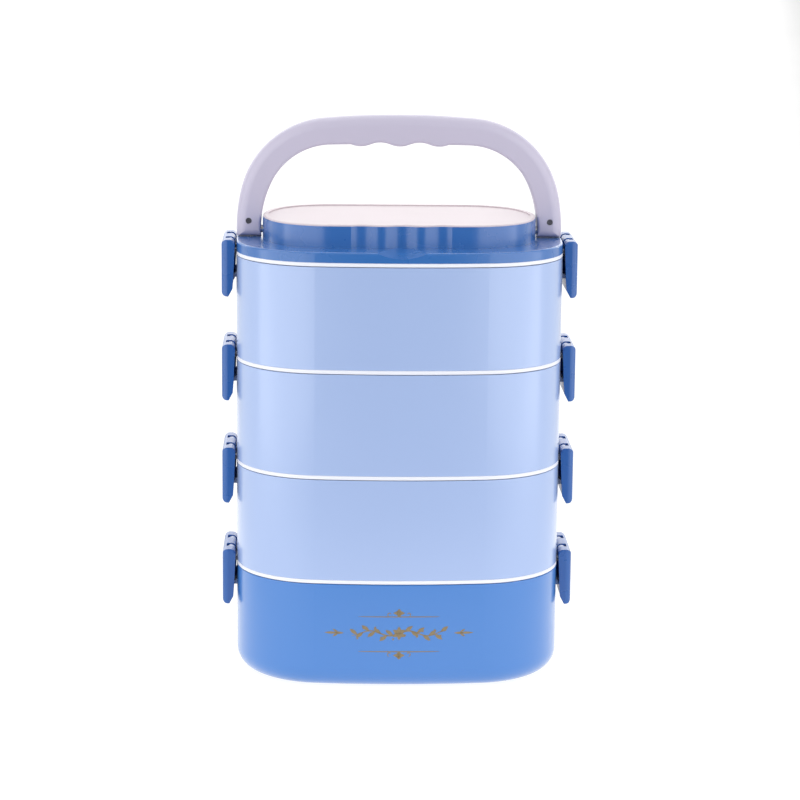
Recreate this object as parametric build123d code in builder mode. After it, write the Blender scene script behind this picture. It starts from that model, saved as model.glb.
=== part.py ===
from build123d import *
from math import acos, atan2, copysign, degrees, sqrt
import os

# Four-level tiffin carrier: a base bowl, three lift-off tiers and a lid with a folding bail handle.
# Millimetres. Origin at the middle of the base's underside, +Z up, -Y is the decorated front.

# ---- plans of the rounded oblongs: half width, half depth, corner radius and how far each side bows ----
BODY_PLAN = (85.0, 62.0, 46.0, 2.2, 0.4)
GRIP_OUTER_PLAN = (85.0, 59.5, 48.7, 1.55, 1.06)
GRIP_INNER_PLAN = (72.3, 44.5, 35.0, 0.2, 2.1)

# ---- stack ----
TIERS = ("lower_tier", "middle_tier", "upper_tier")
LEVEL_PITCH = 54.8
FIRST_SEAM = 55.9
SEAMS = [FIRST_SEAM + level * LEVEL_PITCH for level in range(len(TIERS) + 1)]
SEAM_GAP = 0.3
FIT_PLAY = 0.1
CUT_SPAN = 200.0
PLATE_THICKNESS = 2.0
WALL = 2.4
TIER_FLOOR = 2.2
BASE_FLOOR = 2.6
BASE_BOTTOM_RADIUS = 11.0
FOOT_WIDTH = 7.0
FOOT_RECESS = 1.0
CAVITY_RADIUS = 1.5
EDGE_RADIUS = 0.4

# ---- steel liners ----
LINER_THICKNESS = 0.5
LINER_INSET = 3.2
LINER_RADIUS = 8.0
LINER_LIFT = 1.0
LIP_INSET = 1.3
LIP_DROP = 1.4

# ---- white seal plates and their gaskets ----
SKIRT_OUTER = 4.6
SKIRT_INNER = 6.4
SKIRT_DEPTH = 4.5
GROOVE_INSET = 5.4
GROOVE_LOW = -3.6
GROOVE_HIGH = -1.4
GROOVE_CUT_INSET = 3.6
GASKET_OUTER = 4.0

# ---- lid ----
SHOULDER_Z = SEAMS[3] + 7.4
SHOULDER_THICKNESS = 4.0
SHOULDER_EDGE = 1.0
BAND_TOP = SHOULDER_Z + 10.9
NEST_GAP = 1.0
PANEL_TOP = BAND_TOP + 0.9
PANEL_INSET = 0.3
PANEL_LIP = 1.8
PANEL_FIELD_DROP = 0.6
PANEL_PLUG = 2.0
SCOOP_HALF_WIDTH = 13.0
SCOOP_DEPTH = 3.1

# ---- finger waves shared by the bail's underside and the raised band it folds around ----
WAVE_RADIUS = 13.5
WAVE_DEPTH = 1.0
# The arcs of neighbouring ridges and hollows meet tangentially at this pitch.
WAVE_PITCH = 4 * sqrt(WAVE_RADIUS**2 - (WAVE_RADIUS - WAVE_DEPTH) ** 2)

# ---- bail handle ----
PIVOT_Z = SHOULDER_Z + 4.0
BAIL_FRONT = -3.6
BAIL_SPLIT = 3.1
BAIL_BACK = 9.8
BAIL_FOOT = 3.6
BAIL_WALL = 3.0
BAIL_FACE = 2.6
BAIL_SOLID_END = 10.0
BAIL_EDGE = 5.2
BAIL_INNER_EDGE = 1.4
PIVOT_PIN_RADIUS = 1.98
PIVOT_BORE_RADIUS = 2.06
PIVOT_PIN_INNER = 68.6
PIVOT_PIN_END = 80.2
PIVOT_BORE_END = 80.6
PIVOT_HEAD_RADIUS = 3.4
PIVOT_HEAD_THICKNESS = 1.2
SCREW_X = 78.6
SCREW_RISE = 4.4
SCREW_HEAD_RADIUS = 1.55
SCREW_SHANK_RADIUS = 1.0
SCREW_PLAY = 0.05
SCREW_SINK = 0.7
SCREW_HEAD_LENGTH = 1.6
SCREW_END = 8.2
SLOT_LENGTH = 2.0
SLOT_WIDTH = 0.45
SLOT_DEPTH = 0.5

# ---- clips, heights measured from the seam they close ----
CLIP_HALF_LENGTH = 20.0
CLIP_PIN_X = 88.0
CLIP_PIN_RISE = 5.4
CLIP_PIN_RADIUS = 1.2
CLIP_BORE_RADIUS = 1.28
CLIP_HUB_RADIUS = 2.6
CLIP_OUTER_X = 92.3
CLIP_PLATE_X = 90.4
CLIP_EAR_X = 86.2
CLIP_HEEL_X = 86.6
CLIP_HEEL = -17.5
CLIP_TIP_X = 88.8
CLIP_TIP = -21.7
CLIP_CORNER_RADIUS = 2.8
CLIP_TIP_RADIUS = 0.9
CLIP_END_RADIUS = 3.2
CLIP_EDGE = 0.8
CLIP_RECESS_END = 17.9
HUB_CLEARANCE = 0.2
HOOK_TOP = -12.2
HOOK_X = 87.2
SLOT_NEAR = 6.0
SLOT_FAR = 12.0
CLIP_BORE_END = 19.1
CLIP_PIN_FRONT = 18.9
CLIP_PIN_BACK = 19.8
LUG_PLAY = 0.4
LUG_RADIUS = 2.0
LUG_FOOT_X = 88.8
LUG_ROOT = 2.0
LUG_BORE_RADIUS = 1.22
CATCH_X = 86.9
CATCH_ROOT = 1.4
CATCH_TOP = -8.0
CATCH_BOTTOM = -11.9
CATCH_NOSE = 1.0
CATCH_HALF_LENGTH = 15.5


def draw_end(plan, inset):
    """Draws the upper right end of a rounded oblong. Returns what its long side needs to meet it:
    the corner's last point, and the long side's centre height, radius and start angle."""
    half_width, half_depth, corner, long_rise, side_rise = plan
    corner_x = half_width - corner - side_rise
    corner_y = half_depth - corner - long_rise
    long_bow = (corner_x**2 + (half_depth - corner_y) ** 2 - corner**2) / (2 * long_rise)
    side_bow = (corner_y**2 + (half_width - corner_x) ** 2 - corner**2) / (2 * side_rise)
    long_angle = degrees(atan2(corner_y - half_depth + long_bow, corner_x))
    side_angle = degrees(atan2(corner_y, corner_x - half_width + side_bow))
    CenterArc((half_width - side_bow, 0), side_bow - inset, 0, side_angle)
    turn = CenterArc((corner_x, corner_y), corner - inset, side_angle, long_angle - side_angle)
    return turn @ 1, half_depth - long_bow, long_bow - inset, long_angle


def oblong(plan, inset=0.0, mode=Mode.ADD):
    """Adds a rounded oblong face with bowed sides, drawn this far inside its plan."""
    with BuildLine() as outline:
        _, centre_y, radius, angle = draw_end(plan, inset)
        CenterArc((0, centre_y), radius, angle, 90 - angle)
        mirror(about=Plane.YZ)
        mirror(about=Plane.XZ)
    make_face(outline.edges(), mode=mode)


def grip_window(gap=0.0, waves_up=True, mode=Mode.ADD):
    """Adds the shape inside the bail, shrunk by a gap, with its finger waves on one long side."""
    base_line = GRIP_INNER_PLAN[1]
    ridge_y = base_line + WAVE_RADIUS - WAVE_DEPTH
    hollow_y = base_line - WAVE_RADIUS + WAVE_DEPTH
    ridge_radius = WAVE_RADIUS + gap
    swing = degrees(atan2(WAVE_PITCH / 2, ridge_y - hollow_y))
    last_swing = degrees(acos((WAVE_RADIUS - WAVE_DEPTH + gap) / ridge_radius))
    with BuildLine() as outline:
        corner_end, centre_y, radius, angle = draw_end(GRIP_INNER_PLAN, gap)
        mirror(about=Plane.XZ)
        CenterArc((0, -centre_y), radius, -90, 90 - angle)
        CenterArc((0, ridge_y), ridge_radius, -90, swing)
        CenterArc((WAVE_PITCH / 2, hollow_y), WAVE_RADIUS - gap, 90 + swing, -2 * swing)
        last_ridge = CenterArc((WAVE_PITCH, ridge_y), ridge_radius, -90 - swing, swing + last_swing)
        Line(last_ridge @ 1, corner_end)
        mirror(about=Plane.YZ)
        if not waves_up:
            mirror(about=Plane.XZ, mode=Mode.REPLACE)
    make_face(outline.edges(), mode=mode)


def save(builder, name):
    """Labels a finished piece and writes it to its own STEP file."""
    builder.part.label = name
    export_step(builder.part, f"parts/{name}.step")


def bowl_block(bottom, top, inset, radius):
    """Solid oblong block with a rounded bottom edge."""
    with BuildPart() as block:
        with BuildSketch(Plane.XY.offset(bottom)):
            oblong(BODY_PLAN, inset)
        extrude(amount=top - bottom)
        fillet(block.faces().sort_by(Axis.Z)[0].edges(), radius=radius)
    return block.part


# ---- shells: coloured outer walls of the base and the tiers ----
def make_shell(name, bottom, seam, floor, bottom_radius, has_foot=False):
    """Open-topped shell with a ledge for the liner's lip and a catch ridge for the clips above it."""
    top = seam - SEAM_GAP / 2
    catch_root_x = BODY_PLAN[0] - CATCH_ROOT
    outside = bowl_block(bottom, top, 0, bottom_radius)
    cavity = bowl_block(bottom + floor, top + 1, WALL, max(bottom_radius - WALL, CAVITY_RADIUS))
    with BuildPart() as shell:
        add(outside)
        fillet(shell.faces().sort_by(Axis.Z)[-1].edges(), radius=EDGE_RADIUS)
        add(cavity, mode=Mode.SUBTRACT)
        if has_foot:
            with BuildSketch(Plane.XY.offset(bottom)):
                oblong(BODY_PLAN, bottom_radius + FOOT_WIDTH)
            extrude(amount=FOOT_RECESS, mode=Mode.SUBTRACT)
        with BuildSketch(Plane.XY.offset(top)):
            oblong(BODY_PLAN, LIP_INSET - FIT_PLAY)
        extrude(amount=-LIP_DROP, mode=Mode.SUBTRACT)
        with BuildSketch(Plane.XZ.offset(-CATCH_HALF_LENGTH)):
            with BuildLine():
                Polyline(
                    (catch_root_x, seam + CATCH_BOTTOM),
                    (CATCH_X, seam + CATCH_BOTTOM),
                    (CATCH_X, seam + CATCH_BOTTOM + CATCH_NOSE),
                    (catch_root_x, seam + CATCH_TOP),
                    close=True,
                )
            make_face()
            mirror(about=Plane.YZ)
        extrude(amount=2 * CATCH_HALF_LENGTH)
    save(shell, name)


# ---- liners: thin steel bowls hung by their lips inside the shells ----
def make_liner(name, floor_top, seam):
    """Steel bowl with a rounded bottom and a flat lip that rests on the shell's ledge."""
    lip_top = seam - SEAM_GAP / 2 - LIP_DROP + LINER_THICKNESS
    bottom = floor_top + LINER_LIFT
    inner_inset = LINER_INSET + LINER_THICKNESS
    bowl = bowl_block(bottom, lip_top, LINER_INSET, LINER_RADIUS)
    cavity = bowl_block(bottom + LINER_THICKNESS, lip_top + 1, inner_inset, LINER_RADIUS - LINER_THICKNESS)
    with BuildPart() as liner:
        add(bowl)
        with BuildSketch(Plane.XY.offset(lip_top)):
            oblong(BODY_PLAN, LIP_INSET)
        extrude(amount=-LINER_THICKNESS)
        add(cavity, mode=Mode.SUBTRACT)
    save(liner, name)


# ---- seal plates: white rings seen at each seam, closing the level below ----
def make_seal_plate(name, seam):
    """Flat plate with a grooved skirt that enters the liner below and lugs for the two clips."""
    under = seam + SEAM_GAP / 2
    upper = under + PLATE_THICKNESS
    pin_z = seam + CLIP_PIN_RISE
    root_x = BODY_PLAN[0] - LUG_ROOT
    lug_width = SLOT_FAR - SLOT_NEAR - 2 * LUG_PLAY
    with BuildPart() as plate:
        with BuildSketch(Plane.XY.offset(under)):
            oblong(BODY_PLAN)
        extrude(amount=PLATE_THICKNESS)
        fillet(plate.faces().filter_by(Axis.Z).edges(), radius=EDGE_RADIUS)
        with BuildSketch(Plane.XY.offset(under)):
            oblong(BODY_PLAN, SKIRT_OUTER)
            oblong(BODY_PLAN, SKIRT_INNER, mode=Mode.SUBTRACT)
        extrude(amount=-SKIRT_DEPTH - SEAM_GAP / 2)
        with BuildSketch(Plane.XY.offset(seam + GROOVE_LOW)):
            oblong(BODY_PLAN, GROOVE_CUT_INSET)
            oblong(BODY_PLAN, GROOVE_INSET, mode=Mode.SUBTRACT)
        extrude(amount=GROOVE_HIGH - GROOVE_LOW, mode=Mode.SUBTRACT)
        for lug_back in (SLOT_FAR - LUG_PLAY, -SLOT_NEAR - LUG_PLAY):
            with BuildSketch(Plane.XZ.offset(-lug_back)):
                with BuildLine():
                    Polyline(
                        (root_x, under),
                        (LUG_FOOT_X, under),
                        (CLIP_PIN_X + LUG_RADIUS, pin_z),
                        (CLIP_PIN_X - LUG_RADIUS, pin_z),
                        (CLIP_PIN_X - LUG_RADIUS, upper),
                        (root_x, upper),
                        close=True,
                    )
                make_face()
                with Locations((CLIP_PIN_X, pin_z)):
                    Circle(LUG_RADIUS)
                    Circle(LUG_BORE_RADIUS, mode=Mode.SUBTRACT)
                mirror(about=Plane.YZ)
            extrude(amount=lug_width)
    save(plate, name)


def make_gasket(name, seam):
    """Soft ring in the skirt's groove."""
    with BuildPart() as gasket:
        with BuildSketch(Plane.XY.offset(seam + GROOVE_LOW + FIT_PLAY)):
            oblong(BODY_PLAN, GASKET_OUTER)
            oblong(BODY_PLAN, GROOVE_INSET, mode=Mode.SUBTRACT)
        extrude(amount=GROOVE_HIGH - GROOVE_LOW - 2 * FIT_PLAY)
    save(gasket, name)


# ---- clips ----
def make_clip(name, seam, side):
    """Side latch: a hub with two ears on the pin, an outer plate, and a hook under the catch ridge."""
    pin_z = seam + CLIP_PIN_RISE
    length = 2 * CLIP_HALF_LENGTH
    with BuildPart() as clip:
        with BuildSketch(Plane.XZ.offset(-CLIP_HALF_LENGTH)) as profile:
            with BuildLine():
                Polyline(
                    (CLIP_PIN_X, pin_z + CLIP_HUB_RADIUS),
                    (CLIP_OUTER_X, pin_z + CLIP_HUB_RADIUS),
                    (CLIP_OUTER_X, seam + CLIP_TIP),
                    (CLIP_TIP_X, seam + CLIP_TIP),
                    (CLIP_HEEL_X, seam + CLIP_HEEL),
                    (CLIP_EAR_X, seam + HOOK_TOP),
                    (CLIP_PIN_X - CLIP_HUB_RADIUS, pin_z),
                    close=True,
                )
            make_face()
            fillet(profile.vertices().group_by(Axis.X)[-1], radius=CLIP_CORNER_RADIUS)
            fillet(profile.vertices().group_by(Axis.Z)[0].sort_by(Axis.X)[0], radius=CLIP_TIP_RADIUS)
            with Locations((CLIP_PIN_X, pin_z)):
                Circle(CLIP_HUB_RADIUS)
        extrude(amount=length)
        end_edges = clip.faces().filter_by(Axis.Y).edges()
        fillet(end_edges.filter_by(lambda edge: edge.center().X > CLIP_TIP_X), radius=CLIP_EDGE)
        with BuildSketch(Plane.XY.offset(seam + CLIP_TIP)) as plan:
            with Locations((CLIP_OUTER_X, 0)):
                Rectangle(length, length, align=(Align.MAX, Align.CENTER))
            fillet(plan.vertices().group_by(Axis.X)[-1], radius=CLIP_END_RADIUS)
        extrude(amount=length, mode=Mode.INTERSECT)
        with BuildSketch(Plane.XZ.offset(-CLIP_RECESS_END)):
            with Locations((CLIP_PLATE_X, seam + HOOK_TOP)):
                Rectangle(
                    length,
                    CLIP_PIN_RISE - CLIP_HUB_RADIUS - HUB_CLEARANCE - HOOK_TOP,
                    align=(Align.MAX, Align.MIN),
                )
            with Locations((HOOK_X, seam + HOOK_TOP)):
                Rectangle(length, length, align=(Align.MAX, Align.MAX))
        extrude(amount=2 * CLIP_RECESS_END, mode=Mode.SUBTRACT)
        for slot_back in (SLOT_FAR, -SLOT_NEAR):
            with BuildSketch(Plane.XZ.offset(-slot_back)):
                with Locations((CLIP_PLATE_X, seam + HOOK_TOP)):
                    Rectangle(length, length, align=(Align.MAX, Align.MIN))
            extrude(amount=SLOT_FAR - SLOT_NEAR, mode=Mode.SUBTRACT)
        with BuildSketch(Plane.XZ.offset(-CLIP_HALF_LENGTH)):
            with Locations((CLIP_PIN_X, pin_z)):
                Circle(CLIP_BORE_RADIUS)
        extrude(amount=CLIP_HALF_LENGTH + CLIP_BORE_END, mode=Mode.SUBTRACT)
        if side == "left":
            mirror(about=Plane.YZ, mode=Mode.REPLACE)
    save(clip, name)


def make_clip_pins(name, seam):
    """The two hinge pins of one level's clips, pushed in from the back into blind bores."""
    pin_z = seam + CLIP_PIN_RISE
    with BuildPart() as pins:
        with BuildSketch(Plane.XZ.offset(-CLIP_PIN_BACK)):
            with Locations((CLIP_PIN_X, pin_z), (-CLIP_PIN_X, pin_z)):
                Circle(CLIP_PIN_RADIUS)
        extrude(amount=CLIP_PIN_BACK + CLIP_PIN_FRONT)
    save(pins, name)


# ---- lid ----
def make_lid_shell():
    """Blue cover with a flat shoulder, a front finger scoop and the raised band the bail nests around."""
    bottom = SEAMS[3] + SEAM_GAP / 2 + PLATE_THICKNESS
    scoop_radius = (SCOOP_HALF_WIDTH**2 + SCOOP_DEPTH**2) / (2 * SCOOP_DEPTH)
    scoop_run = BODY_PLAN[1] - GRIP_INNER_PLAN[1] + NEST_GAP
    scoop_plane = Plane(
        origin=(0, -BODY_PLAN[1], SHOULDER_Z - SCOOP_DEPTH),
        x_dir=(1, 0, 0),
        z_dir=(0, -scoop_run, -SCOOP_DEPTH),
    )
    with BuildPart() as lid:
        with BuildSketch(Plane.XY.offset(bottom)):
            oblong(BODY_PLAN)
        extrude(amount=SHOULDER_Z - bottom)
        fillet(lid.faces().sort_by(Axis.Z)[-1].edges(), radius=SHOULDER_EDGE)
        with BuildSketch(scoop_plane):
            with Locations((0, scoop_radius)):
                Circle(scoop_radius)
        extrude(amount=scoop_run, both=True, mode=Mode.SUBTRACT)
        with BuildSketch(Plane.XY.offset(SHOULDER_Z)):
            grip_window(NEST_GAP, waves_up=False)
        extrude(amount=BAND_TOP - SHOULDER_Z)
        with BuildSketch(Plane.XY.offset(bottom)):
            oblong(BODY_PLAN, WALL)
        extrude(amount=SHOULDER_Z - SHOULDER_THICKNESS - bottom, mode=Mode.SUBTRACT)
        with BuildSketch(Plane.XY.offset(bottom)):
            grip_window(NEST_GAP + WALL, waves_up=False)
        extrude(amount=BAND_TOP - bottom, mode=Mode.SUBTRACT)
        with BuildSketch(Plane.YZ.offset(-BODY_PLAN[0])):
            with Locations((0, PIVOT_Z)):
                Circle(PIVOT_PIN_RADIUS)
        extrude(amount=2 * BODY_PLAN[0], mode=Mode.SUBTRACT)
    save(lid, "lid_shell")


def make_top_panel():
    """White cover snapped into the top of the raised band, with a raised lip around a flat field."""
    with BuildPart() as panel:
        with BuildSketch(Plane.XY.offset(BAND_TOP)):
            grip_window(NEST_GAP + PANEL_INSET, waves_up=False)
        extrude(amount=PANEL_TOP - BAND_TOP)
        fillet(panel.faces().sort_by(Axis.Z)[-1].edges(), radius=EDGE_RADIUS)
        with BuildSketch(Plane.XY.offset(PANEL_TOP)):
            oblong(GRIP_INNER_PLAN, NEST_GAP + PANEL_LIP + WAVE_DEPTH)
        extrude(amount=-PANEL_FIELD_DROP, mode=Mode.SUBTRACT)
        with BuildSketch(Plane.XY.offset(BAND_TOP)):
            grip_window(NEST_GAP + WALL + FIT_PLAY, waves_up=False)
            oblong(GRIP_INNER_PLAN, NEST_GAP + 2 * WALL + WAVE_DEPTH, mode=Mode.SUBTRACT)
        extrude(amount=-PANEL_PLUG)
    save(panel, "top_panel")


def make_handle_pins():
    """Headed pins from inside the raised band's end walls into the bail's arms."""
    with BuildPart() as pins:
        with BuildSketch(Plane.YZ.offset(PIVOT_PIN_INNER)):
            with Locations((0, PIVOT_Z)):
                Circle(PIVOT_PIN_RADIUS)
        extrude(amount=PIVOT_PIN_END - PIVOT_PIN_INNER)
        with BuildSketch(Plane.YZ.offset(PIVOT_PIN_INNER)):
            with Locations((0, PIVOT_Z)):
                Circle(PIVOT_HEAD_RADIUS)
        extrude(amount=-PIVOT_HEAD_THICKNESS)
        mirror(about=Plane.YZ)
    save(pins, "handle_pins")


# ---- bail handle: two shells screwed together ----
def bail_plane(y):
    """Upright plane through the bail, facing the front, with its origin on the pivot axis."""
    return Plane(origin=(0, y, PIVOT_Z), x_dir=(1, 0, 0), z_dir=(0, -1, 0))


def screw_circles(radius):
    """Adds a circle at each screw."""
    with Locations((-SCREW_X, SCREW_RISE), (SCREW_X, SCREW_RISE)):
        Circle(radius)


def make_bail_shell(name, face_y):
    """One half of the bail, from the split to its front or back face."""
    depth = BAIL_SPLIT - face_y
    facing_front = depth > 0
    face_index = 0 if facing_front else -1
    foot_radius = -BAIL_FRONT
    with BuildPart() as shell:
        with BuildSketch(bail_plane(BAIL_SPLIT)):
            oblong(GRIP_OUTER_PLAN)
        extrude(amount=depth)
        fillet(shell.faces().sort_by(Axis.Y)[face_index].edges(), radius=BAIL_EDGE)
        with BuildSketch(bail_plane(BAIL_SPLIT)):
            grip_window()
        extrude(amount=depth, mode=Mode.SUBTRACT)
        fillet(shell.faces().sort_by(Axis.Y)[face_index].inner_wires().edges(), radius=BAIL_INNER_EDGE)
        with BuildSketch(bail_plane(BAIL_SPLIT)):
            with Locations((0, -BAIL_FOOT)):
                Rectangle(CUT_SPAN, CUT_SPAN, align=(Align.CENTER, Align.MAX))
        extrude(amount=depth, mode=Mode.SUBTRACT)
        with BuildSketch(bail_plane(BAIL_SPLIT)):
            oblong(GRIP_OUTER_PLAN, BAIL_WALL)
            oblong(GRIP_INNER_PLAN, -BAIL_WALL - WAVE_DEPTH, mode=Mode.SUBTRACT)
            with Locations((0, BAIL_SOLID_END)):
                Rectangle(CUT_SPAN, CUT_SPAN, align=(Align.CENTER, Align.MAX), mode=Mode.SUBTRACT)
        extrude(amount=depth - copysign(BAIL_FACE, depth), mode=Mode.SUBTRACT)
        if facing_front:
            with BuildSketch(Plane.YZ.offset(-CUT_SPAN / 2)):
                with Locations((0, PIVOT_Z)):
                    Rectangle(2 * foot_radius, 2 * foot_radius, align=(Align.MAX, Align.MAX))
                    Circle(foot_radius, mode=Mode.SUBTRACT)
            extrude(amount=CUT_SPAN, mode=Mode.SUBTRACT)
            with BuildSketch(Plane.YZ.offset(-PIVOT_BORE_END)):
                with Locations((0, PIVOT_Z)):
                    Circle(PIVOT_BORE_RADIUS)
            extrude(amount=2 * PIVOT_BORE_END, mode=Mode.SUBTRACT)
        with BuildSketch(bail_plane(BAIL_FRONT)):
            screw_circles(SCREW_HEAD_RADIUS + SCREW_PLAY)
        extrude(amount=-SCREW_SINK - SCREW_HEAD_LENGTH, mode=Mode.SUBTRACT)
        with BuildSketch(bail_plane(BAIL_FRONT)):
            screw_circles(SCREW_SHANK_RADIUS + SCREW_PLAY)
        extrude(amount=BAIL_FRONT - SCREW_END, mode=Mode.SUBTRACT)
    save(shell, name)


def make_handle_screws():
    """Cross-head screws that close the bail's two shells at the foot of each arm."""
    head_face = BAIL_FRONT + SCREW_SINK
    with BuildPart() as screws:
        with BuildSketch(bail_plane(head_face)):
            screw_circles(SCREW_HEAD_RADIUS)
        extrude(amount=-SCREW_HEAD_LENGTH)
        with BuildSketch(bail_plane(head_face)):
            screw_circles(SCREW_SHANK_RADIUS)
        extrude(amount=head_face - SCREW_END)
        with BuildSketch(bail_plane(head_face)):
            with Locations((-SCREW_X, SCREW_RISE), (SCREW_X, SCREW_RISE)):
                Rectangle(SLOT_LENGTH, SLOT_WIDTH)
                Rectangle(SLOT_WIDTH, SLOT_LENGTH)
        extrude(amount=-SLOT_DEPTH, mode=Mode.SUBTRACT)
    save(screws, "handle_screws")


# ---- build every piece ----
make_shell("base_shell", 0, SEAMS[0], BASE_FLOOR, BASE_BOTTOM_RADIUS, has_foot=True)
make_liner("base_liner", BASE_FLOOR, SEAMS[0])

for level, tier in enumerate(TIERS):
    shell_bottom = SEAMS[level] + SEAM_GAP / 2 + PLATE_THICKNESS
    make_shell(f"{tier}_shell", shell_bottom, SEAMS[level + 1], TIER_FLOOR, EDGE_RADIUS)
    make_liner(f"{tier}_liner", shell_bottom + TIER_FLOOR, SEAMS[level + 1])

for unit, unit_seam in zip(TIERS + ("lid",), SEAMS):
    make_seal_plate(f"{unit}_seal_plate", unit_seam)
    make_gasket(f"{unit}_gasket", unit_seam)
    make_clip_pins(f"{unit}_clip_pins", unit_seam)
    for clip_side in ("left", "right"):
        make_clip(f"{unit}_clip_{clip_side}", unit_seam, clip_side)

make_lid_shell()
make_top_panel()
make_handle_pins()
make_bail_shell("handle_front", BAIL_FRONT)
make_bail_shell("handle_back", BAIL_BACK)
make_handle_screws()
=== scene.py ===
from math import cos, pi, radians, sin, sqrt

import bmesh
import bpy
from mathutils import Matrix, Vector


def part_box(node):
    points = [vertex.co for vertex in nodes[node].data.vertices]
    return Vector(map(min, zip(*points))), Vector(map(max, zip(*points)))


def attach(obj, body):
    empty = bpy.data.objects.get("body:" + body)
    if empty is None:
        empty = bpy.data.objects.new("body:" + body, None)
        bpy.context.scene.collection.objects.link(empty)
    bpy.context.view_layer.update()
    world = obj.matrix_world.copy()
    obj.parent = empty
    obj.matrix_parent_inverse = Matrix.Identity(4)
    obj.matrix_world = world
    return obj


# Looks for the tiffin carrier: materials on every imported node, a printed gold ornament on the base,
# and a studio that is bright behind and dark in front. Metres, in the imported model's own frame.

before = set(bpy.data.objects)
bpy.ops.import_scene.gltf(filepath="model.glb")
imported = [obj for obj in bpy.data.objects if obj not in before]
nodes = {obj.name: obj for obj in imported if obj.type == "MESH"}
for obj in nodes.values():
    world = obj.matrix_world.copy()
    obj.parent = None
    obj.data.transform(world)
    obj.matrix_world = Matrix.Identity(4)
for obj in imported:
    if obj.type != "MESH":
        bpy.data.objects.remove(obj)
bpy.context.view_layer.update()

TIERS = ("lower_tier", "middle_tier", "upper_tier")
UNITS = TIERS + ("lid",)


# ---- camera ----
LENS_MM = 121.1
SENSOR_MM = 36
CAMERA_PLACE = (0.00125, -1.399, 0.4173)
CAMERA_TURN = -1.74
CAMERA_DIP = 11.19
CAMERA_ROLL = 0.54


def make_camera():
    """Long-lens view from a little above, turned slightly off the front."""
    camera = bpy.data.cameras.new("studio_camera")
    camera.lens = LENS_MM
    camera.sensor_width = SENSOR_MM
    camera.clip_end = 20
    view = bpy.data.objects.new("studio_camera", camera)
    bpy.context.scene.collection.objects.link(view)
    turn = Matrix.Rotation(radians(CAMERA_TURN), 4, "Z")
    place = turn @ Matrix.Translation(CAMERA_PLACE)
    tilt = Matrix.Rotation(radians(90 - CAMERA_DIP), 4, "X")
    roll = Matrix.Rotation(radians(CAMERA_ROLL), 4, "Z")
    view.matrix_world = place @ tilt @ roll
    bpy.context.scene.camera = view


# ---- materials ----
def new_material(name):
    """Empty node material with its shader; returns the material, its tree and the shader node."""
    material = bpy.data.materials.new(name)
    material.use_nodes = True
    tree = material.node_tree
    return material, tree, tree.nodes["Principled BSDF"]


def noise(tree, scale, detail=3.0, stretch=(1, 1, 1)):
    """Noise over the object's own coordinates, in cells per metre, stretched along an axis if asked."""
    place = tree.nodes.new("ShaderNodeTexCoord")
    mapping = tree.nodes.new("ShaderNodeMapping")
    mapping.inputs["Scale"].default_value = stretch
    texture = tree.nodes.new("ShaderNodeTexNoise")
    texture.inputs["Scale"].default_value = scale
    texture.inputs["Detail"].default_value = detail
    tree.links.new(place.outputs["Object"], mapping.inputs["Vector"])
    tree.links.new(mapping.outputs["Vector"], texture.inputs["Vector"])
    return texture.outputs["Fac"]


def ranged(tree, value, low, high, start=0.3, end=0.7):
    """Maps the span from start to end onto low to high, held level beyond both."""
    spread = tree.nodes.new("ShaderNodeMapRange")
    spread.inputs["From Min"].default_value = start
    spread.inputs["From Max"].default_value = end
    spread.inputs["To Min"].default_value = low
    spread.inputs["To Max"].default_value = high
    tree.links.new(value, spread.inputs["Value"])
    return spread.outputs["Result"]


def tinted(tree, value, colour, shift):
    """Colour that wanders a little either side of the given one."""
    mix = tree.nodes.new("ShaderNodeMix")
    mix.data_type = "RGBA"
    mix.inputs["A"].default_value = [channel * (1 - shift) for channel in colour] + [1]
    mix.inputs["B"].default_value = [min(channel * (1 + shift), 1) for channel in colour] + [1]
    tree.links.new(value, mix.inputs["Factor"])
    return mix.outputs["Result"]


def bump(tree, shader, height, distance, strength=1.0):
    """Raises the surface by a height map, in metres."""
    node = tree.nodes.new("ShaderNodeBump")
    node.inputs["Strength"].default_value = strength
    node.inputs["Distance"].default_value = distance
    tree.links.new(height, node.inputs["Height"])
    tree.links.new(node.outputs["Normal"], shader.inputs["Normal"])


FLOW_SCALE = 14
SMUDGE_SCALE = 38
PEEL_SCALE = 650
FLOW_SHIFT = 0.02
COAT_ROUGHNESS = 0.2
GRAIN_SCALE = 900
GRAIN_SHIFT = 0.03
GRAIN_DEPTH = 0.000004
CLOUD_SCALE = 60
CLOUD_SHIFT = 0.05
GASKET_ROUGHNESS = (0.38, 0.55)
GASKET_SKIN_SCALE = 900
GASKET_SKIN_DEPTH = 0.00002
GASKET_SCATTER = 0.004


def moulded_plastic(name, colour, roughness, peel=0.000003, coat=0.0, haze=0.03, gloss=0.5):
    """Moulded plastic: faint flow marks in the colour, handling haze and a fine orange peel."""
    material, tree, shader = new_material(name)
    flow = noise(tree, FLOW_SCALE, 2, stretch=(1, 1, 0.35))
    tree.links.new(tinted(tree, flow, colour, FLOW_SHIFT), shader.inputs["Base Color"])
    smudge = noise(tree, SMUDGE_SCALE, 5)
    rough = ranged(tree, smudge, roughness - haze, roughness + haze)
    tree.links.new(rough, shader.inputs["Roughness"])
    bump(tree, shader, noise(tree, PEEL_SCALE, 2), peel)
    shader.inputs["Coat Weight"].default_value = coat
    shader.inputs["Coat Roughness"].default_value = COAT_ROUGHNESS
    shader.inputs["Specular IOR Level"].default_value = gloss
    return material


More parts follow.
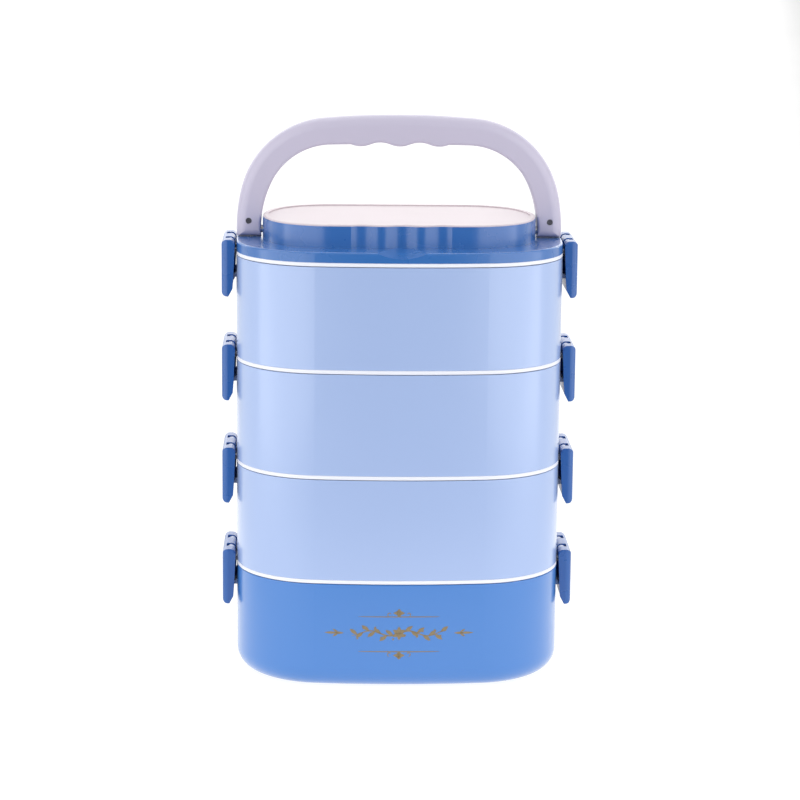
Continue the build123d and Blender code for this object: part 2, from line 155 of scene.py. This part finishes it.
def brushed_steel(name, colour, roughness, stretch):
    """Steel with fine brushing along one axis."""
    material, tree, shader = new_material(name)
    grain = noise(tree, GRAIN_SCALE, 4, stretch=stretch)
    tree.links.new(tinted(tree, grain, colour, GRAIN_SHIFT), shader.inputs["Base Color"])
    tree.links.new(ranged(tree, grain, roughness - 0.03, roughness + 0.05), shader.inputs["Roughness"])
    bump(tree, shader, grain, GRAIN_DEPTH)
    shader.inputs["Metallic"].default_value = 1.0
    return material


def silicone(name, colour):
    """Soft, slightly cloudy gasket rubber."""
    material, tree, shader = new_material(name)
    cloud = noise(tree, CLOUD_SCALE, 4)
    tree.links.new(tinted(tree, cloud, colour, CLOUD_SHIFT), shader.inputs["Base Color"])
    tree.links.new(ranged(tree, cloud, *GASKET_ROUGHNESS), shader.inputs["Roughness"])
    bump(tree, shader, noise(tree, GASKET_SKIN_SCALE, 2), GASKET_SKIN_DEPTH)
    shader.inputs["Subsurface Weight"].default_value = 0.2
    shader.inputs["Subsurface Radius"].default_value = (GASKET_SCATTER,) * 3
    shader.inputs["Subsurface Scale"].default_value = 0.5
    return material


def paint_node(name, material):
    """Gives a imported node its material."""
    node = nodes[name]
    node.data.materials.clear()
    node.data.materials.append(material)


def paint_nodes():
    """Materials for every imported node."""
    tier_blue = moulded_plastic("tier_pale_blue", (0.355, 0.468, 0.745), 0.33, coat=1.0)
    base_blue = moulded_plastic("base_blue", (0.04, 0.193, 0.565), 0.33, coat=1.0)
    lid_blue = moulded_plastic("lid_blue", (0.031, 0.142, 0.43), 0.27, coat=0.7)
    clip_blue = moulded_plastic("clip_blue", (0.019, 0.103, 0.36), 0.28, coat=0.2)
    plate_white = moulded_plastic("plate_white", (0.80, 0.82, 0.90), 0.35)
    cover_white = moulded_plastic("cover_white", (0.68, 0.597, 0.625), 0.36, haze=0.015, gloss=0.2)
    lilac = moulded_plastic("handle_lilac", (0.515, 0.485, 0.61), 0.36, peel=0.000006)
    gasket = silicone("silicone_gasket", (0.72, 0.75, 0.80))
    liner = brushed_steel("steel_liner", (0.62, 0.62, 0.63), 0.28, (1, 1, 0.06))
    pin = brushed_steel("steel_pin", (0.55, 0.55, 0.57), 0.25, (1, 0.1, 1))
    screw = brushed_steel("steel_screw", (0.16, 0.16, 0.18), 0.35, (1, 1, 1))
    paint_node("base_shell", base_blue)
    paint_node("base_liner", liner)
    for tier in TIERS:
        paint_node(f"{tier}_shell", tier_blue)
        paint_node(f"{tier}_liner", liner)
    for unit in UNITS:
        paint_node(f"{unit}_seal_plate", plate_white)
        paint_node(f"{unit}_gasket", gasket)
        paint_node(f"{unit}_clip_pins", pin)
        for side in ("left", "right"):
            paint_node(f"{unit}_clip_{side}", clip_blue)
    paint_node("lid_shell", lid_blue)
    paint_node("top_panel", cover_white)
    paint_node("handle_front", lilac)
    paint_node("handle_back", lilac)
    paint_node("handle_pins", pin)
    paint_node("handle_screws", screw)


# ---- printed ornament on the base's front ----
FRONT_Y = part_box("base_shell")[0][1]
FRONT_BOW = 0.3857
GOLD = (0.30, 0.235, 0.14)
LAY_SCALE = 900
LAY_SHIFT = 0.25
PRINT_ROUGHNESS = (0.30, 0.48)
PRINT_METALLIC = 0.8
PRINT_PROUD = 0.00008
PRINT_SUNK = 0.00004
ORNAMENT_Z = 0.0302
RULE_HIGH = 0.0390
RULE_LOW = 0.0204
RULE_REACH = 0.0210
RULE_WIDTH = 0.0005
DIAMOND_RISE = 0.0020
DIAMOND_SHAPES = ((0.0030, 0.0024), (0.0015, 0.0044))
CURL_REACH = 0.0048
CURL_RISE = 0.0013
CURL_RADIUS = 0.0014
CURL_WIDTH = 0.00045
CURL_CLOSING = 0.75
SPRAY_LEAVES = ((0.0285, 0.0050), (0.0312, 0.0072))
SPRAY_LEAF_WIDTH = 0.0012
SPRAY_SIDE_ROOT = 0.0312
SPRAY_SIDE_LEAF = (0.0036, 0.0010)
SPRAY_SPREAD = 0.6
VINE_REACH = 0.0245
VINE_HEIGHT = 0.0013
VINE_WAVES = 2.5
VINE_WIDTH = 0.0007
VINE_PLACES = 16
LEAF_LEAN = 0.95
LEAF_SIZE = (0.0049, 0.0019)
BERRY_DROP = 0.0021
BERRY_SIZE = 0.0011
PETAL_SIZE = (0.0036, 0.0020)


def front_y(x):
    """Depth of the base's bowed front wall at this place across it."""
    return FRONT_Y + FRONT_BOW - sqrt(FRONT_BOW**2 - x**2)


def add_ribbon(mesh, path, widths):
    """Thin closed ribbon on the front wall, along (x, z) points with a width at each."""
    rings = []
    last = len(path) - 1
    for index, (x, z) in enumerate(path):
        before = path[max(index - 1, 0)]
        after = path[min(index + 1, last)]
        along = Vector((after[0] - before[0], after[1] - before[1])).normalized()
        side = Vector((-along.y, along.x)) * widths[index] / 2
        ring = []
        for sign, depth in ((1, -PRINT_PROUD), (-1, -PRINT_PROUD), (-1, PRINT_SUNK), (1, PRINT_SUNK)):
            point_x = x + sign * side.x
            ring.append(mesh.verts.new((point_x, front_y(point_x) + depth, z + sign * side.y)))
        rings.append(ring)
    for here, there in zip(rings, rings[1:]):
        for corner in range(4):
            follower = (corner + 1) % 4
            mesh.faces.new((here[corner], here[follower], there[follower], there[corner]))
    mesh.faces.new(rings[0][::-1])
    mesh.faces.new(rings[-1])


def stroke(mesh, point_at, width, tip=0.00008, steps=24, swell=0.5):
    """Ribbon along a formula over 0 to 1, thin at both tips and widest in between."""
    places = [step / steps for step in range(steps + 1)]
    widths = [tip + (width - tip) * sin(pi * place) ** swell for place in places]
    add_ribbon(mesh, [point_at(place) for place in places], widths)


def leaf(mesh, root, angle, length, width):
    """Pointed leaf from its root, in the direction of the angle."""
    stroke(
        mesh,
        lambda place: (root[0] + length * place * cos(angle), root[1] + length * place * sin(angle)),
        width,
        steps=8,
        swell=1.0,
    )


def curl(mesh, centre, radius, start, sweep, width):
    """Spiral stroke that closes towards its centre."""

    def point_at(place):
        angle = start + sweep * place
        reach = radius * (1 - CURL_CLOSING * place)
        return centre[0] + reach * cos(angle), centre[1] + reach * sin(angle)

    stroke(mesh, point_at, width, steps=20)


def add_berry(mesh, x, z):
    """Small round dot."""
    stroke(mesh, lambda along: (x + (along - 0.5) * BERRY_SIZE, z), BERRY_SIZE, steps=8, swell=0.6)


def draw_rule(mesh, z, up):
    """Thin tapering rule with a diamond at its middle and two small curls beside it."""
    stroke(mesh, lambda place: ((2 * place - 1) * RULE_REACH, z), RULE_WIDTH, swell=0.35)
    for reach, width in DIAMOND_SHAPES:
        middle = z + up * DIAMOND_RISE
        stroke(mesh, lambda place: ((2 * place - 1) * reach, middle), width, steps=8, swell=1.0)
    for side in (-1, 1):
        centre = (side * CURL_REACH, z + up * CURL_RISE)
        curl(mesh, centre, CURL_RADIUS, pi / 2 - side * pi, side * 1.5 * pi, CURL_WIDTH)


def draw_side_spray(mesh, side):
    """Small spray of leaves beyond each end of the garland."""
    outward = 0 if side > 0 else pi
    for reach, length in SPRAY_LEAVES:
        leaf(mesh, (side * reach, ORNAMENT_Z), outward, length, SPRAY_LEAF_WIDTH)
    for spread in (-SPRAY_SPREAD, SPRAY_SPREAD):
        angle = spread if side > 0 else pi - spread
        leaf(mesh, (side * SPRAY_SIDE_ROOT, ORNAMENT_Z), angle, *SPRAY_SIDE_LEAF)


def draw_garland(mesh):
    """Waving vine with leaves above and below, a berry opposite each and a flower in the middle."""

    def vine(place):
        x = (2 * place - 1) * VINE_REACH
        return x, ORNAMENT_Z + VINE_HEIGHT * sin(2 * pi * VINE_WAVES * (place - 0.5))

    stroke(mesh, vine, VINE_WIDTH, steps=96, swell=0.4)
    for step in range(1, VINE_PLACES):
        place = step / VINE_PLACES
        if step == VINE_PLACES // 2:
            continue
        x, z = vine(place)
        outward = 1 if place > 0.5 else -1
        above = 1 if step % 2 else -1
        turn = above * outward * LEAF_LEAN
        leaf(mesh, (x, z), above * pi / 2 - turn, *LEAF_SIZE)
        add_berry(mesh, x, z - above * BERRY_DROP)
    for petal in range(6):
        leaf(mesh, (0, ORNAMENT_Z), petal * pi / 3 + pi / 6, *PETAL_SIZE)


def make_ornament(material):
    """The gold print: a garland between two rules, with a spray at each side."""
    mesh = bmesh.new()
    draw_rule(mesh, RULE_HIGH, 1)
    draw_rule(mesh, RULE_LOW, -1)
    draw_garland(mesh)
    for side in (-1, 1):
        draw_side_spray(mesh, side)
    bmesh.ops.recalc_face_normals(mesh, faces=mesh.faces)
    data = bpy.data.meshes.new("base_ornament")
    mesh.to_mesh(data)
    mesh.free()
    data.materials.append(material)
    ornament = bpy.data.objects.new("base_ornament", data)
    bpy.context.scene.collection.objects.link(ornament)
    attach(ornament, "base")


def printed_gold(name, colour):
    """Thin metallic ink with a slightly uneven lay."""
    material, tree, shader = new_material(name)
    lay = noise(tree, LAY_SCALE, 3)
    tree.links.new(tinted(tree, lay, colour, LAY_SHIFT), shader.inputs["Base Color"])
    tree.links.new(ranged(tree, lay, *PRINT_ROUGHNESS), shader.inputs["Roughness"])
    shader.inputs["Metallic"].default_value = PRINT_METALLIC
    return material


# ---- studio ----
FLOOR_SIZE = 40
FLOOR_ROUGHNESS = (0.7, 0.8)
TABLE_EDGE = (-0.42, -0.26)
FLOOR_GLOW = (0.90, 0.62)
GLOW_EDGE = (0.22, 0.34)
STRIP_GAIN = 3.2
STRIP_LENGTH = 20.0
TABLE_SHADE = (0.06, 0.06, 0.06, 1)
SWEEP_SHADE = (0.22, 0.22, 0.22, 1)
WORLD_FRONT = 0.30
WORLD_BACK = 1.8
WORLD_FADE = (0.2, 0.8)
PANEL_PLACE = (0.4375, -0.34)
PANEL_AIM = (0.019, -0.066)
PANEL_HEIGHT = 0.42
PANEL_SIZE = (0.81, 0.82)
PANEL_RADIANCE = 1.66
TOP_PLACE = (0, 0.2, 1.8)
TOP_AIM = (0, 0, 0.16)
TOP_SIZE = (1.8, 1.6)
TOP_RADIANCE = 1.0


def combined(tree, operation, first, second=None):
    """Maths node on one or two values."""
    node = tree.nodes.new("ShaderNodeMath")
    node.operation = operation
    tree.links.new(first, node.inputs[0])
    if second is not None:
        tree.links.new(second, node.inputs[1])
    return node.outputs["Value"]


def make_floor():
    """Dark table in front, then a paler sweep that glows, most in a strip that widens to the back."""
    bpy.ops.mesh.primitive_plane_add(size=FLOOR_SIZE, location=(0, 0, 0))
    floor = bpy.context.object
    floor.name = "studio_floor"
    material, tree, shader = new_material("studio_floor")
    place = tree.nodes.new("ShaderNodeTexCoord")
    axes = tree.nodes.new("ShaderNodeSeparateXYZ")
    tree.links.new(place.outputs["Object"], axes.inputs["Vector"])
    sideways = combined(tree, "ABSOLUTE", axes.outputs["X"])
    widening = ranged(tree, axes.outputs["Y"], 0.0, STRIP_GAIN, 0.0, STRIP_LENGTH)
    beside = combined(tree, "SUBTRACT", sideways, widening)
    glow = ranged(tree, beside, *FLOOR_GLOW, *GLOW_EDGE)
    covered = ranged(tree, axes.outputs["Y"], 0.0, 1.0, *TABLE_EDGE)
    tree.links.new(combined(tree, "MULTIPLY", glow, covered), shader.inputs["Emission Strength"])
    shade = tree.nodes.new("ShaderNodeMix")
    shade.data_type = "RGBA"
    shade.inputs["A"].default_value = TABLE_SHADE
    shade.inputs["B"].default_value = SWEEP_SHADE
    tree.links.new(covered, shade.inputs["Factor"])
    tree.links.new(shade.outputs["Result"], shader.inputs["Base Color"])
    tree.links.new(ranged(tree, noise(tree, 3, 2), *FLOOR_ROUGHNESS), shader.inputs["Roughness"])
    shader.inputs["Specular IOR Level"].default_value = 0.1
    shader.inputs["Emission Color"].default_value = (1, 1, 1, 1)
    floor.data.materials.append(material)


def add_softbox(name, place, aim, size, radiance):
    """Rectangular soft light aimed at a point, this bright all over its face."""
    light = bpy.data.lights.new(name, "AREA")
    light.shape = "RECTANGLE"
    light.size, light.size_y = size
    light.energy = pi * size[0] * size[1] * radiance
    lamp = bpy.data.objects.new(name, light)
    lamp.location = place
    lamp.rotation_euler = (Vector(aim) - Vector(place)).to_track_quat("-Z", "Y").to_euler()
    bpy.context.scene.collection.objects.link(lamp)


def light_studio():
    """White world behind and dim in front, a lit panel at each front quarter, a softbox overhead."""
    world = bpy.data.worlds.new("studio_world")
    bpy.context.scene.world = world
    world.use_nodes = True
    tree = world.node_tree
    backdrop = tree.nodes["Background"]
    place = tree.nodes.new("ShaderNodeTexCoord")
    axes = tree.nodes.new("ShaderNodeSeparateXYZ")
    tree.links.new(place.outputs["Generated"], axes.inputs["Vector"])
    strength = ranged(tree, axes.outputs["Y"], WORLD_FRONT, WORLD_BACK, *WORLD_FADE)
    tree.links.new(strength, backdrop.inputs["Strength"])
    backdrop.inputs["Color"].default_value = (1, 1, 1, 1)
    for name, side in (("left_panel", -1), ("right_panel", 1)):
        spot = (side * PANEL_PLACE[0], PANEL_PLACE[1], PANEL_HEIGHT)
        aim = (side * PANEL_AIM[0], PANEL_AIM[1], PANEL_HEIGHT)
        add_softbox(name, spot, aim, PANEL_SIZE, PANEL_RADIANCE)
    add_softbox("top_softbox", TOP_PLACE, TOP_AIM, TOP_SIZE, TOP_RADIANCE)
    bpy.context.scene.view_settings.view_transform = "Standard"


make_camera()
paint_nodes()
make_ornament(printed_gold("gold_print", GOLD))
make_floor()
light_studio()
